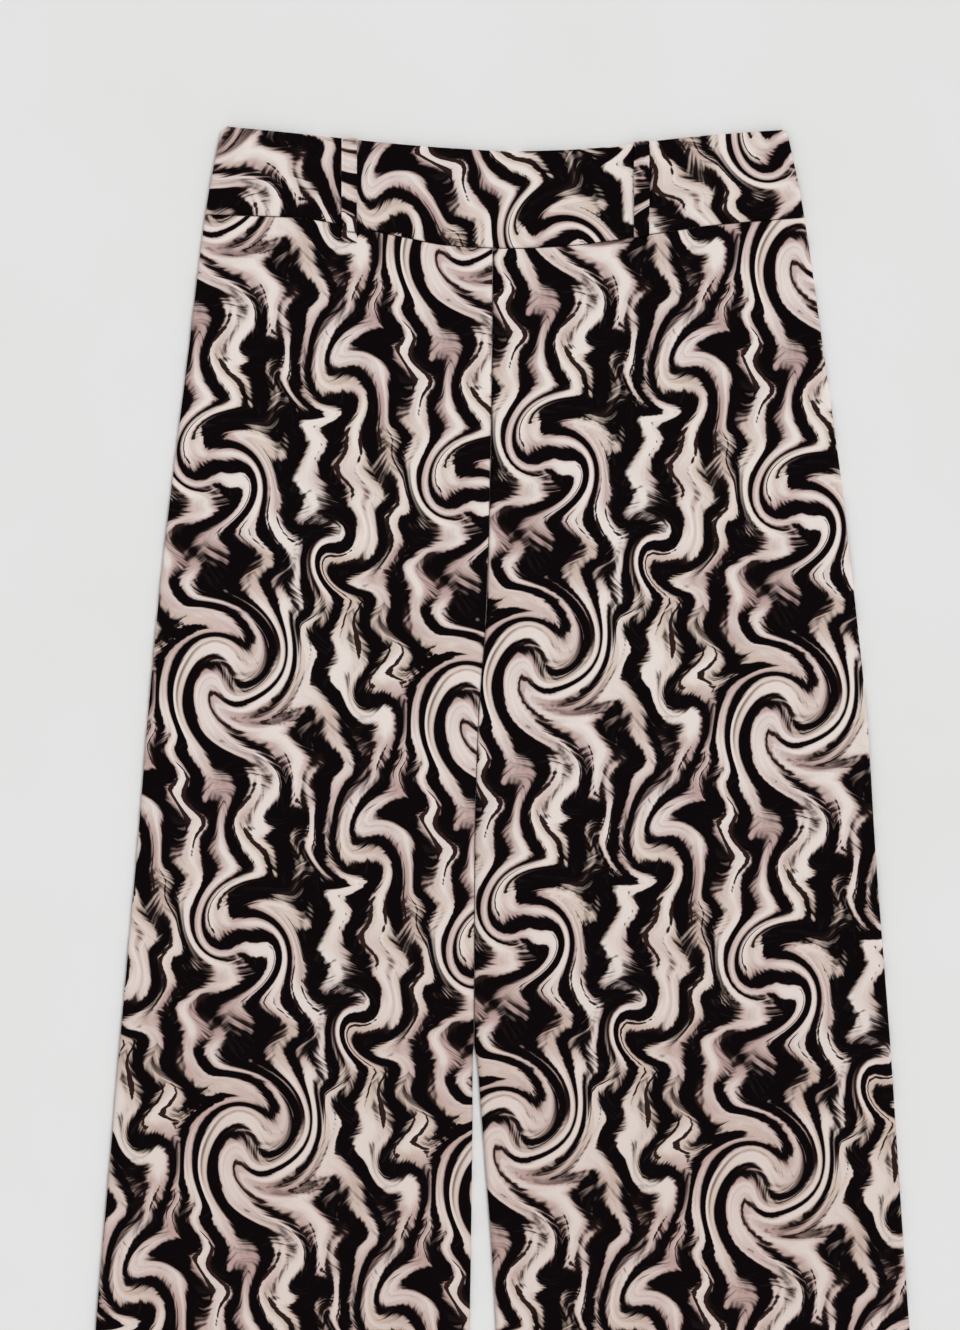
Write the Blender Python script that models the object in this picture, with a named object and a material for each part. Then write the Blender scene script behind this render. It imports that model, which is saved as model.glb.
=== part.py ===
"""Wide culottes laid flat, front up.

Two back leg panels lie on the surface and two front leg panels lie on them, with a shaped
waistband of a front and a back piece above, and a belt loop on each side of the front.

Metres. +X goes to the wearer's left, +Y to the waist, +Z up from the surface they lie on.
A drop is a distance down the garment, from the upper corners of the waistband. Columns of the
tables that start with right or left mean the wearer's.
"""

import math
from bisect import bisect_right
from collections import namedtuple

import bmesh
import bpy

# Driving dimensions
LENGTH = 0.837  # from the waistband's corners to the hem's lowest point
CROTCH_DROP = 0.392  # where the centre seams end and the inseams start
LEG_CLOTH = 0.0012  # wall of a leg panel, one layer
BAND_CLOTH = 0.0019  # wall of the waistband, doubled
LEG_AIR = 0.0018  # between the back and the front of a leg
BAND_AIR = 0.0011  # between the back and the front of the waistband
SEAM_GAP = 0.0003  # between pieces that are sewn together
EDGE_ROLL = 0.0032  # how far in from a side seam or an inseam a wall starts to turn down
SEAM_DIP = 0.0003  # how far the centre seam pulls the panels in
HEM_RISE = 0.012  # how much higher a hem ends at the side seam than at the inseam
HEM_DEPTH = 0.025  # of the turned-up hem
HEM_STEP = 0.0004  # how much the turned-up hem lifts the front
CORNER_RADIUS = 0.004  # of the waistband's upper corners
BAND_TOP_ROUND = 0.0006  # taken off the waistband's upper edge, inside and out
LOOP_WIDTH = 0.010
LOOP_CLOTH = 0.0012  # a belt loop's strip
LOOP_TOP_INSET = 0.0012  # from the waistband's upper edge to a loop's end

# How finely the walls are divided
TURN_STEPS = 3  # across a rolled edge
FRONT_COLUMNS = 14  # across a front leg panel, and half the waistband above it
BACK_COLUMNS = 8
LOOP_STEPS = 10

# The outline, and the line where the legs meet
Station = namedtuple("Station", "name drop right_side right_inner left_inner left_side")
STATIONS = (
    Station("waist edge", 0.000, -0.1825, -0.0060, -0.0060, 0.1840),
    Station("mid waistband", 0.051, -0.1922, -0.0062, -0.0062, 0.1945),
    Station("high hip", 0.155, -0.2052, -0.0070, -0.0070, 0.2095),
    Station("hip", 0.233, -0.2150, -0.0083, -0.0083, 0.2202),
    Station("low hip", 0.311, -0.2238, -0.0105, -0.0105, 0.2290),
    Station("crotch", 0.392, -0.2312, -0.0161, -0.0161, 0.2372),
    Station("upper thigh", 0.470, -0.2375, -0.0182, -0.0182, 0.2420),
    Station("legs part", 0.597, -0.2488, -0.0188, -0.0186, 0.2517),
    Station("below the knee", 0.665, -0.2545, -0.0204, -0.0117, 0.2562),
    Station("calf", 0.753, -0.2622, -0.0213, -0.0059, 0.2621),
    Station("hem", 0.837, -0.2685, -0.0226, -0.0021, 0.2685),
)

# The waistband's upper edge and the seam below it, both of which hang lower in the middle
Waist = namedtuple("Waist", "name x top_drop seam_drop")
WAIST = (
    Waist("right side", -0.194, -0.0012, 0.0573),
    Waist("right quarter", -0.135, 0.0046, 0.0593),
    Waist("right loop", -0.102, 0.0081, 0.0644),
    Waist("beside the right loop", -0.067, 0.0117, 0.0715),
    Waist("right of the middle", -0.034, 0.0143, 0.0775),
    Waist("middle", 0.008, 0.0163, 0.0793),
    Waist("left of the middle", 0.037, 0.0156, 0.0780),
    Waist("beside the left loop", 0.063, 0.0140, 0.0754),
    Waist("left loop", 0.096, 0.0099, 0.0702),
    Waist("left quarter", 0.140, 0.0054, 0.0640),
    Waist("left side", 0.195, 0.0016, 0.0592),
)

# Rows of faces down a leg: how many there are as far as each drop
Zone = namedtuple("Zone", "name end_drop rows")
LEG_ZONES = (
    Zone("waist seam", 0.0680, 0),
    Zone("seat", 0.3700, 11),
    Zone("crotch", 0.4250, 5),
    Zone("leg", 0.8100, 14),
    Zone("hem", LENGTH, 2),
)

# Rows of faces down the waistband, finer round its upper corners, as shares of its depth
BAND_ROWS = (0.0, 0.010, 0.028, 0.065, 0.35, 0.68, 1.0)

# Soft folds of the front, each a ridge where its height is positive and a trough where not.
# turn is in degrees from straight down, towards the wearer's left.
Fold = namedtuple("Fold", "name x drop length width turn height")
FOLDS = (
    Fold("crotch to right hip", -0.043, 0.346, 0.120, 0.011, 30, 0.0013),
    Fold("crotch to left hip", 0.010, 0.350, 0.110, 0.011, -31, 0.0011),
    Fold("crotch to right thigh", -0.049, 0.462, 0.150, 0.013, -23, 0.0014),
    Fold("crotch to left thigh", 0.016, 0.468, 0.170, 0.014, 21, 0.0012),
    Fold("right hip", -0.138, 0.205, 0.200, 0.030, -7, 0.0008),
    Fold("left hip", 0.132, 0.235, 0.230, 0.032, 6, 0.0009),
    Fold("outer right thigh", -0.186, 0.455, 0.260, 0.021, 4, -0.0006),
    Fold("outer left thigh", 0.176, 0.480, 0.240, 0.023, -5, -0.0006),
    Fold("down the right leg", -0.150, 0.650, 0.350, 0.024, 3, 0.0015),
    Fold("inside the right leg", -0.078, 0.705, 0.260, 0.017, -4, 0.0010),
    Fold("down the left leg", 0.112, 0.625, 0.380, 0.026, -3, 0.0015),
    Fold("outside the left leg", 0.198, 0.715, 0.240, 0.017, 5, 0.0009),
    Fold("inside the left leg", 0.046, 0.735, 0.210, 0.015, 3, 0.0009),
)

# Belt loops: where each lies, how far below the waist seam it ends, and how far it stands off
Loop = namedtuple("Loop", "name x below_seam bulge")
LOOPS = (
    Loop("belt_loop_right", -0.0996, 0.0104, 0.0012),
    Loop("belt_loop_left", 0.0900, 0.0008, 0.0010),
)

Finish = namedtuple("Finish", "name colour roughness")
FRONT_CLOTH = Finish("front cloth", (0.62, 0.53, 0.50), 0.72)
BACK_CLOTH = Finish("back cloth", (0.44, 0.38, 0.37), 0.74)
BAND_CLOTH_FINISH = Finish("waistband cloth", (0.53, 0.45, 0.43), 0.70)
LOOP_CLOTH_FINISH = Finish("belt loop cloth", (0.30, 0.26, 0.25), 0.70)


def smooth_curve(places, values):
    """A function that runs smoothly through the values and never swings past them."""
    steps = [after - before for before, after in zip(places, places[1:])]
    rises = [(after - before) / step for before, after, step in zip(values, values[1:], steps)]
    slopes = [rises[0]]
    for before, after in zip(rises, rises[1:]):
        same_way = before * after > 0
        slopes.append(2 * before * after / (before + after) if same_way else 0.0)
    slopes.append(rises[-1])

    def value_at(place):
        at = min(max(bisect_right(places, place) - 1, 0), len(steps) - 1)
        t = min(max((place - places[at]) / steps[at], 0.0), 1.0)
        start = (1 + 2 * t) * (1 - t) ** 2 * values[at] + t * (1 - t) ** 2 * steps[at] * slopes[at]
        end = t * t * (3 - 2 * t) * values[at + 1] - t * t * (1 - t) * steps[at] * slopes[at + 1]
        return start + end

    return value_at


def column_curve(table, place, column):
    """The smooth curve of one named column of a table, against another."""
    places = [getattr(row, place) for row in table]
    return smooth_curve(places, [getattr(row, column) for row in table])


right_side = column_curve(STATIONS, "drop", "right_side")
right_inner = column_curve(STATIONS, "drop", "right_inner")
left_inner = column_curve(STATIONS, "drop", "left_inner")
left_side = column_curve(STATIONS, "drop", "left_side")
waist_top = column_curve(WAIST, "x", "top_drop")
waist_seam = column_curve(WAIST, "x", "seam_drop")

# A leg's edges, and the way from its inner edge to its side along X
Leg = namedtuple("Leg", "name inner side outward")
RIGHT_LEG = Leg("right", right_inner, right_side, -1)
LEFT_LEG = Leg("left", left_inner, left_side, 1)


def blend(start, end, share):
    return start + (end - start) * share


def ease(value, start, end):
    """0 up to start, 1 from end on, and a smooth rise between."""
    share = min(max((value - start) / (end - start), 0.0), 1.0)
    return share * share * (3 - 2 * share)


def y_at(drop):
    return LENGTH / 2 - drop


def fold_height(x, drop):
    """How far the soft folds lift the front above its level."""
    height = 0.0
    for fold in FOLDS:
        turn = math.radians(fold.turn)
        along = (x - fold.x) * math.sin(turn) + (drop - fold.drop) * math.cos(turn)
        across = (x - fold.x) * math.cos(turn) - (drop - fold.drop) * math.sin(turn)
        if abs(along) < fold.length / 2:
            taper = math.cos(math.pi * along / fold.length) ** 2
            height += fold.height * taper * math.exp(-((across / fold.width) ** 2))
    return height


def leg_relief(x, drop, hem_drop, from_inner, from_side):
    """The front's height above its level: its folds, which die out at the seams, and its hem."""
    parted = ease(drop, CROTCH_DROP - 0.010, CROTCH_DROP + 0.030)
    fade = ease(from_side, 0.0, 0.018) * blend(1.0, ease(from_inner, 0.0, 0.014), parted)
    below_waist = ease(drop - waist_seam(x), 0.004, 0.030)
    hem = HEM_STEP * ease(drop, hem_drop - HEM_DEPTH - 0.003, hem_drop - HEM_DEPTH + 0.003)
    return (fold_height(x, drop) * below_waist + hem) * fade


class Layer:
    """One face of a flattened tube's wall: its outer or its inner one.

    The front wall's sections end at half height in quarter ellipses, and the back wall's are
    the same turned over.
    """

    def __init__(self, cloth, air, inner, front):
        self.total = 2 * cloth + air
        self.low = (self.total + SEAM_GAP) / 2
        self.inset = cloth if inner else 0.0
        self.rise = self.total - self.low - self.inset
        self.front = front

    def height(self, lift, relief=0.0):
        """z, where lift is 0 at the seam and 1 where the wall lies flat."""
        if not self.front:
            return self.total - self.low - self.rise * lift
        return self.low + self.rise * lift + relief

    def rolled(self, turn):
        """How far in from its edge a rolled wall lies at a turn, and its lift there."""
        reach = self.inset + (EDGE_ROLL - self.inset) * (1 - math.cos(turn))
        return reach, math.sin(turn)

    def sewn(self, turn):
        """The same for a wall that meets its neighbour flat, pulled in a little by the seam."""
        return EDGE_ROLL * (1 - math.cos(turn)), 1 - SEAM_DIP / self.rise * math.cos(turn)


def rolled_turns():
    return [math.pi / 2 * step / TURN_STEPS for step in range(TURN_STEPS)]


def flat_shares(columns):
    return [(step / columns, math.pi / 2) for step in range(columns + 1)]


def leg_columns(columns):
    """Each column's share across and how far it has turned, from the inner edge to the side."""
    inner = [(0.0, turn) for turn in rolled_turns()]
    side = [(1.0, turn) for turn in reversed(rolled_turns())]
    return inner + flat_shares(columns) + side


def half_band_columns(columns):
    """The same for half the waistband, whose points stand above the leg's at the waist seam."""
    return flat_shares(columns) + [(1.0, turn) for turn in reversed(rolled_turns())]


def leg_rows():
    """How far down a leg each row of points is, as a share of the way from waist seam to hem."""
    start = LEG_ZONES[0].end_drop
    rows = [0.0]
    for before, zone in zip(LEG_ZONES, LEG_ZONES[1:]):
        for row in range(1, zone.rows + 1):
            drop = blend(before.end_drop, zone.end_drop, row / zone.rows)
            rows.append((drop - start) / (LENGTH - start))
    return rows


def leg_point(layer, leg, share, turn, down):
    """A point of a leg panel's wall."""
    hem_drop = LENGTH - HEM_RISE * share**1.5
    drop = down * LENGTH
    for _ in range(6):
        inner_x = leg.inner(drop) + leg.outward * SEAM_GAP / 2
        side_x = leg.side(drop)
        reach, lift = layer.rolled(turn)
        if share == 0.0:
            parted = ease(drop, CROTCH_DROP - 0.012, CROTCH_DROP + 0.028)
            sewn_reach, sewn_lift = layer.sewn(turn)
            reach = blend(sewn_reach, reach, parted)
            lift = blend(sewn_lift, lift, parted)
        x = blend(inner_x + leg.outward * reach, side_x - leg.outward * reach, share)
        drop = blend(waist_seam(x) + SEAM_GAP / 2, hem_drop, down)
    relief = 0.0
    if layer.front:
        relief = leg_relief(x, drop, hem_drop, abs(x - inner_x), abs(side_x - x))
    return x, y_at(drop), layer.height(lift, relief)


def leg_sheet(layer, leg, columns):
    return [
        [leg_point(layer, leg, share, turn, down) for share, turn in leg_columns(columns)]
        for down in leg_rows()
    ]


def corner_inset(drop):
    """How far the waistband's rounded upper corner stands in from its side at a drop."""
    if drop >= CORNER_RADIUS:
        return 0.0
    return CORNER_RADIUS - math.sqrt(CORNER_RADIUS**2 - (CORNER_RADIUS - drop) ** 2)


def band_point(layer, leg, share, turn, down):
    """A point of the waistband's wall in its half above a leg."""
    drop = down * waist_seam(0.0)
    depth = 0.0
    for _ in range(6):
        reach, lift = layer.rolled(turn)
        side_x = leg.side(drop) - leg.outward * (corner_inset(depth) + reach)
        inner_x = leg.inner(drop) + leg.outward * (EDGE_ROLL + SEAM_GAP / 2)
        x = blend(inner_x, side_x, share)
        top = waist_top(x)
        depth = down * (waist_seam(x) - SEAM_GAP / 2 - top)
        drop = top + depth
    z = layer.height(lift)
    if down == 0.0:
        towards_middle = 1 if (layer.inset > 0) == layer.front else -1
        z += towards_middle * BAND_TOP_ROUND * lift
    return x, y_at(drop), z


def band_sheet(layer, columns):
    across = [(RIGHT_LEG, share, turn) for share, turn in reversed(half_band_columns(columns))]
    across += [(LEFT_LEG, share, turn) for share, turn in half_band_columns(columns)]
    return [
        [band_point(layer, leg, share, turn, down) for leg, share, turn in across]
        for down in BAND_ROWS
    ]


def loop_sheets(loop):
    """The upper and lower faces of a belt loop: the points of what it lies on, moved out."""
    band_level = 2 * BAND_CLOTH + BAND_AIR
    leg_level = 2 * LEG_CLOTH + LEG_AIR
    top = waist_top(loop.x) + LOOP_TOP_INSET
    seam = waist_seam(loop.x)
    end = seam + loop.below_seam
    upper, lower = [], []
    for step in range(LOOP_STEPS + 1):
        share = step / LOOP_STEPS
        drop = blend(top, end, share)
        on_leg = ease(drop, seam - 0.0005, seam + 0.006)
        level = blend(band_level, leg_level, on_leg) + SEAM_GAP
        under = level + loop.bulge * math.sin(math.pi * share) ** 2
        sides = (loop.x - LOOP_WIDTH / 2, loop.x, loop.x + LOOP_WIDTH / 2)
        slants = [drop + waist_top(x) - waist_top(loop.x) for x in sides]
        lower.append([(x, y_at(slant), under) for x, slant in zip(sides, slants)])
        upper.append([(x, y_at(slant), under + LOOP_CLOTH) for x, slant in zip(sides, slants)])
    return upper, lower


def make_material(finish):
    material = bpy.data.materials.new(finish.name)
    material.use_nodes = True
    shader = material.node_tree.nodes["Principled BSDF"]
    shader.inputs["Base Color"].default_value = (*finish.colour, 1.0)
    shader.inputs["Roughness"].default_value = finish.roughness
    shader.inputs["Metallic"].default_value = 0.0
    return material


def make_wall(name, outer, inner, finish):
    """One closed piece of cloth between two sheets of points with equal rows and columns."""
    mesh_maker = bmesh.new()
    sheets = [[[mesh_maker.verts.new(point) for point in row] for row in sheet]
              for sheet in (outer, inner)]
    rows, columns = len(outer), len(outer[0])
    for sheet in sheets:
        for row in range(rows - 1):
            for column in range(columns - 1):
                mesh_maker.faces.new((sheet[row][column], sheet[row][column + 1],
                                      sheet[row + 1][column + 1], sheet[row + 1][column]))
    rim = [(0, column) for column in range(columns - 1)]
    rim += [(row, columns - 1) for row in range(rows - 1)]
    rim += [(rows - 1, column) for column in range(columns - 1, 0, -1)]
    rim += [(row, 0) for row in range(rows - 1, 0, -1)]
    for (row, column), (next_row, next_column) in zip(rim, rim[1:] + rim[:1]):
        mesh_maker.faces.new((sheets[0][row][column], sheets[0][next_row][next_column],
                              sheets[1][next_row][next_column], sheets[1][row][column]))
    bmesh.ops.recalc_face_normals(mesh_maker, faces=mesh_maker.faces)
    mesh = bpy.data.meshes.new(name)
    mesh_maker.to_mesh(mesh)
    mesh_maker.free()
    mesh.shade_smooth()
    mesh.set_sharp_from_angle(angle=math.radians(35))
    mesh.materials.append(make_material(finish))
    piece = bpy.data.objects.new(name, mesh)
    bpy.context.scene.collection.objects.link(piece)
    return piece


PLACES = (("front", FRONT_COLUMNS, FRONT_CLOTH), ("back", BACK_COLUMNS, BACK_CLOTH))


def make_leg_panels():
    for leg in (RIGHT_LEG, LEFT_LEG):
        for place, columns, finish in PLACES:
            outer = leg_sheet(Layer(LEG_CLOTH, LEG_AIR, False, place == "front"), leg, columns)
            inner = leg_sheet(Layer(LEG_CLOTH, LEG_AIR, True, place == "front"), leg, columns)
            make_wall(f"{place}_{leg.name}_leg", outer, inner, finish)


def make_waistband():
    for place, columns, _ in PLACES:
        outer = band_sheet(Layer(BAND_CLOTH, BAND_AIR, False, place == "front"), columns)
        inner = band_sheet(Layer(BAND_CLOTH, BAND_AIR, True, place == "front"), columns)
        make_wall(f"waistband_{place}", outer, inner, BAND_CLOTH_FINISH)


def make_belt_loops():
    for loop in LOOPS:
        make_wall(loop.name, *loop_sheets(loop), LOOP_CLOTH_FINISH)


for old in list(bpy.data.objects):
    bpy.data.objects.remove(old, do_unlink=True)
make_leg_panels()
make_waistband()
make_belt_loops()
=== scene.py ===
import math
from bisect import bisect_right

import bmesh
import bpy
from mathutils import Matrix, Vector


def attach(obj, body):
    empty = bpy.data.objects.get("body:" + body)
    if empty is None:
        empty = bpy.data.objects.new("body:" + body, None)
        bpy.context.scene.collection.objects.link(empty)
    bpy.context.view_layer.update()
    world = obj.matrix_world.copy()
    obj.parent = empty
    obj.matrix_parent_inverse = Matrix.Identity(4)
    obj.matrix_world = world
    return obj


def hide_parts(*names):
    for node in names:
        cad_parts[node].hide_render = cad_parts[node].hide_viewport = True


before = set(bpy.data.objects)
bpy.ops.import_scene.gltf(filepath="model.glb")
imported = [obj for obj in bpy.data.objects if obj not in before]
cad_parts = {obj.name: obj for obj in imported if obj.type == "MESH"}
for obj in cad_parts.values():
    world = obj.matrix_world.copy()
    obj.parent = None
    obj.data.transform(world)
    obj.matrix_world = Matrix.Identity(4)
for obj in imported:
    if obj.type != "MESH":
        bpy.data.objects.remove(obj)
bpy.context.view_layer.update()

# Culottes laid flat, front up. Metres: +X to the wearer's left, +Y to the waist, +Z up.
# A drop is a distance down the garment from the waistband's corners.

garment = {
    "length": 0.837,
    "crotchDrop": 0.392,      # the centre seams end here and the inseams start
    "legWall": 0.0012,        # the solids' walls and air, which give the levels that the cloth lies at
    "legAir": 0.0018,
    "bandWall": 0.0019,
    "bandAir": 0.0011,
    "seamGap": 0.0003,
    "edgeRoll": 0.0032,       # how far in from a seam an edge starts to turn down
    "hemRise": 0.012,         # a hem's side end lies this much higher
}

# The outline at stations down the garment
stationColumns = ("drop", "rightSide", "leftSide")
stations = {
    "waist edge":     (0.000, -0.1825, 0.1840),
    "mid waistband":  (0.051, -0.1922, 0.1945),
    "high hip":       (0.155, -0.2052, 0.2095),
    "hip":            (0.233, -0.2150, 0.2202),
    "low hip":        (0.311, -0.2238, 0.2290),
    "crotch":         (0.392, -0.2312, 0.2372),
    "upper thigh":    (0.470, -0.2375, 0.2420),
    "legs part":      (0.597, -0.2488, 0.2517),
    "below the knee": (0.665, -0.2545, 0.2562),
    "calf":           (0.753, -0.2622, 0.2621),
    "hem":            (0.837, -0.2685, 0.2685),
}

# The line where the legs meet, and the gap that opens between them
innerColumns = ("drop", "rightInner", "leftInner")
innerEdges = {
    "waist edge":     (0.000, -0.0060, -0.0060),
    "mid waistband":  (0.051, -0.0062, -0.0062),
    "high hip":       (0.155, -0.0070, -0.0070),
    "hip":            (0.233, -0.0083, -0.0083),
    "low hip":        (0.311, -0.0105, -0.0105),
    "crotch":         (0.392, -0.0161, -0.0161),
    "upper thigh":    (0.470, -0.0182, -0.0182),
    "legs part":      (0.597, -0.0188, -0.0186),
    "top of the gap": (0.603, -0.0193, -0.0173),
    "knee":           (0.622, -0.0195, -0.0155),
    "under the knee": (0.640, -0.0195, -0.0142),
    "below the knee": (0.665, -0.0197, -0.0122),
    "calf":           (0.753, -0.0209, -0.0059),
    "hem":            (0.837, -0.0226, -0.0021),
}

# The waistband's upper edge and the seam under it
waistColumns = ("x", "top", "seam")
waist = {
    "right side":            (-0.194, -0.0012, 0.0573),
    "right quarter":         (-0.135, 0.0046, 0.0593),
    "right loop":            (-0.102, 0.0081, 0.0644),
    "beside the right loop": (-0.067, 0.0117, 0.0715),
    "right of the middle":   (-0.034, 0.0143, 0.0775),
    "middle":                (0.008, 0.0163, 0.0793),
    "left of the middle":    (0.037, 0.0156, 0.0780),
    "beside the left loop":  (0.063, 0.0140, 0.0754),
    "left loop":             (0.096, 0.0099, 0.0702),
    "left quarter":          (0.140, 0.0054, 0.0640),
    "left side":             (0.195, 0.0016, 0.0592),
}


def smoothCurve(places, values):
    # runs smoothly through the values and never swings past them
    steps = [b - a for a, b in zip(places, places[1:])]
    rises = [(b - a) / step for a, b, step in zip(values, values[1:], steps)]
    slopes = [rises[0]]
    for before, after in zip(rises, rises[1:]):
        slopes.append(2 * before * after / (before + after) if before * after > 0 else 0.0)
    slopes.append(rises[-1])

    def valueAt(place):
        at = min(max(bisect_right(places, place) - 1, 0), len(steps) - 1)
        t = min(max((place - places[at]) / steps[at], 0.0), 1.0)
        start = (1 + 2 * t) * (1 - t) ** 2 * values[at] + t * (1 - t) ** 2 * steps[at] * slopes[at]
        end = t * t * (3 - 2 * t) * values[at + 1] - t * t * (1 - t) * steps[at] * slopes[at + 1]
        return start + end

    return valueAt


def tableCurves(columns, rows):
    # one curve for each column, against the first one
    values = list(zip(*rows.values()))
    return {name: smoothCurve(values[0], values[at]) for at, name in enumerate(columns) if at}


edges = tableCurves(stationColumns, stations) | tableCurves(innerColumns, innerEdges)
waistLines = tableCurves(waistColumns, waist)


def blend(start, end, share):
    return start + (end - start) * share


def ease(value, start, end):
    # 0 before start and 1 after end, smooth between
    share = min(max((value - start) / (end - start), 0.0), 1.0)
    return share * share * (3 - 2 * share)


def yAt(drop):
    return garment["length"] / 2 - drop


# The print: where each point of the cloth lies in the pattern's repeat
printLayout = {
    "repeat": (0.162, 0.305),   # across and down
    "step": 0.027,              # how far the repeat sits lower for each one across
    "probe": 0.0005,            # between points that are compared to find how narrow strokes are
    # eddies that the stripes turn in: centre in the repeat, reach and turn in degrees
    "eddies": {
        "hook": (0.116, 0.060, 0.056, -138),
        "bend": (0.036, 0.150, 0.046, 84),
        "curl": (0.112, 0.232, 0.046, 120),
        "arch": (0.030, 0.262, 0.036, -84),
        "knot": (0.050, 0.060, 0.030, 90),
        "turn": (0.124, 0.146, 0.034, -78),
    },
    # waves: shift in metres across and down, and how many run across and down the repeat
    "waves": {
        "lean":   (0.005, 0.003, 1, 2),
        "sway":   (0.003, -0.003, -1, 3),
        "zigzag": (0.0030, 0.0014, 1, 9),
        "ripple": (0.0012, 0.0, -2, 13),
    },
}


def printPlace(across, down):
    # the pattern's own coordinates, counted in repeats, of a point of the flat cloth
    width, height = printLayout["repeat"]
    step = printLayout["step"]
    x, y = across, down
    for centreX, centreY, reach, turn in printLayout["eddies"].values():
        column = round((x - centreX) / width)
        row = round((y - centreY - column * step) / height)
        awayX = x - centreX - column * width
        awayY = y - centreY - column * step - row * height
        distance = math.hypot(awayX, awayY)
        if distance < reach:
            angle = math.radians(turn) * (1 - (distance / reach) ** 2) ** 2
            turnedX = awayX * math.cos(angle) - awayY * math.sin(angle)
            turnedY = awayX * math.sin(angle) + awayY * math.cos(angle)
            x += turnedX - awayX
            y += turnedY - awayY
    shareX = x / width
    shareY = (y - shareX * step) / height
    shiftX = shiftY = 0.0
    for moveX, moveY, countX, countY in printLayout["waves"].values():
        phase = 2 * math.pi * (countX * shareX + countY * shareY)
        shiftX += moveX * math.sin(phase)
        shiftY += moveY * math.cos(phase)
    return shareX + shiftX / width, shareY + shiftY / height


def printSqueeze(across, down):
    # how many times narrower than they were drawn the strokes are at a point
    probe = printLayout["probe"]
    width = printLayout["repeat"][0]
    here = printPlace(across, down)[0]
    beside = printPlace(across + probe, down)[0]
    below = printPlace(across, down + probe)[0]
    return math.hypot(beside - here, below - here) * width / probe


def cutPlace(cut, x, drop):
    # where a point of a cut piece lies on the printed cloth, and how narrow the strokes are there
    turn = math.radians(cut["grain"])
    across = x * math.cos(turn) + drop * math.sin(turn) + cut["across"]
    down = drop * math.cos(turn) - x * math.sin(turn) + cut["down"]
    return printPlace(across, down), printSqueeze(across, down)


class Value:
    # a socket that adds up as a number does
    def __init__(self, paint, socket):
        self.paint, self.socket = paint, socket

    def maths(self, operation, first, second=None):
        inputs = {0: first} if second is None else {0: first, 1: second}
        return self.paint.node("ShaderNodeMath", {"operation": operation}, inputs)

    def __add__(self, other):
        return self.maths("ADD", self, other)

    def __sub__(self, other):
        return self.maths("SUBTRACT", self, other)

    def __rsub__(self, other):
        return self.maths("SUBTRACT", other, self)

    def __mul__(self, other):
        return self.maths("MULTIPLY", self, other)

    def cosine(self):
        return self.maths("COSINE", self)

    def sine(self):
        return self.maths("SINE", self)

    def larger(self, other):
        return self.maths("MAXIMUM", self, other)

    def output(self, at):
        # another output of the same node
        return Value(self.paint, self.socket.node.outputs[at])

    def clip(self, low, high, start=0.0, end=1.0):
        # 0 at low and 1 at high, smooth between
        return self.paint.node("ShaderNodeMapRange", {"interpolation_type": "SMOOTHSTEP"},
                               {0: self, 1: low, 2: high, 3: start, 4: end})


class Paint:
    # a material and its nodes
    def __init__(self, name):
        self.material = bpy.data.materials.new(name)
        self.material.use_nodes = True
        self.tree = self.material.node_tree
        self.tree.nodes.clear()

    def node(self, kind, settings=None, inputs=None, output=0):
        made = self.tree.nodes.new(kind)
        for name, value in (settings or {}).items():
            setattr(made, name, value)
        for name, value in (inputs or {}).items():
            if isinstance(value, Value):
                self.tree.links.new(value.socket, made.inputs[name])
            else:
                made.inputs[name].default_value = value
        return Value(self, made.outputs[output]) if made.outputs else None

    def mixed(self, share, first, second):
        # a colour between two others
        return self.node("ShaderNodeMix", {"data_type": "RGBA"}, {0: share, 6: first, 7: second}, 2)

    def combined(self, x, y, z):
        return self.node("ShaderNodeCombineXYZ", None, {0: x, 1: y, 2: z})

    def finish(self, shaderInputs):
        shader = self.node("ShaderNodeBsdfPrincipled", None, shaderInputs)
        self.node("ShaderNodeOutputMaterial", None, {0: shader})
        return self.material


def colour(red, green, blue):
    # from screen values of 0 to 255
    shares = [value / 255 for value in (red, green, blue)]
    linear = [s / 12.92 if s <= 0.04045 else ((s + 0.055) / 1.055) ** 2.4 for s in shares]
    return (*linear, 1.0)


printPaint = {
    "ink": colour(10, 5, 6),
    "inkWarm": colour(46, 30, 27),        # thinner ink towards a stroke's edge
    "inkDry": colour(52, 43, 44),         # where the brush ran dry
    "cream": colour(235, 225, 219),
    "blush": colour(190, 162, 157),
    "tan": colour(210, 190, 177),
    "tanReach": (-0.06, 0.14),
    "deep": colour(176, 140, 124),
    "drift": (0.25, 0.85, 0.22),          # the ground deepens between these drops, and how much
    "stripes": 7,                         # in one repeat across
    "stripeWeight": 1.3,                  # even stripes against free strokes
    "strokeWeight": 8.0,
    "lumpWeight": 0.9,
    "fullness": 0.29,                     # below 0, more cream than ink
    "wander": 11.0,
    "sideReach": (-0.5, 0.5),             # where hairs change from a stripe's left to its right
    "feather": (1.2, 4.2),                # how ragged an edge is, at least and at most
    "softness": (0.24, 0.70),
    "raggedReach": (-0.24, 0.06),
    "calmed": (1.4, 2.6),                 # edges turn smooth where strokes are this much narrower
    "roughness": 0.85,
    "gloss": 0.03,
}

# How much each noise adds to a part of the print, and the reach over which the part comes in
fineLines = {"perStripe": 3, "wander": 36.0, "broken": 3.4, "hair": 1.2, "reach": (1.12, 1.36)}
dust = {"shape": -0.75, "cloud": 4.6, "brush": 1.6, "ragged": 0.5, "reach": (-0.75, 1.35)}
inkDepth = {"cloud": 1.2, "brush": 0.5, "reach": (-0.4, 1.0)}
dryBrush = {"cloud": 0.5, "reach": (0.08, 0.34), "strength": 0.3}

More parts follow.
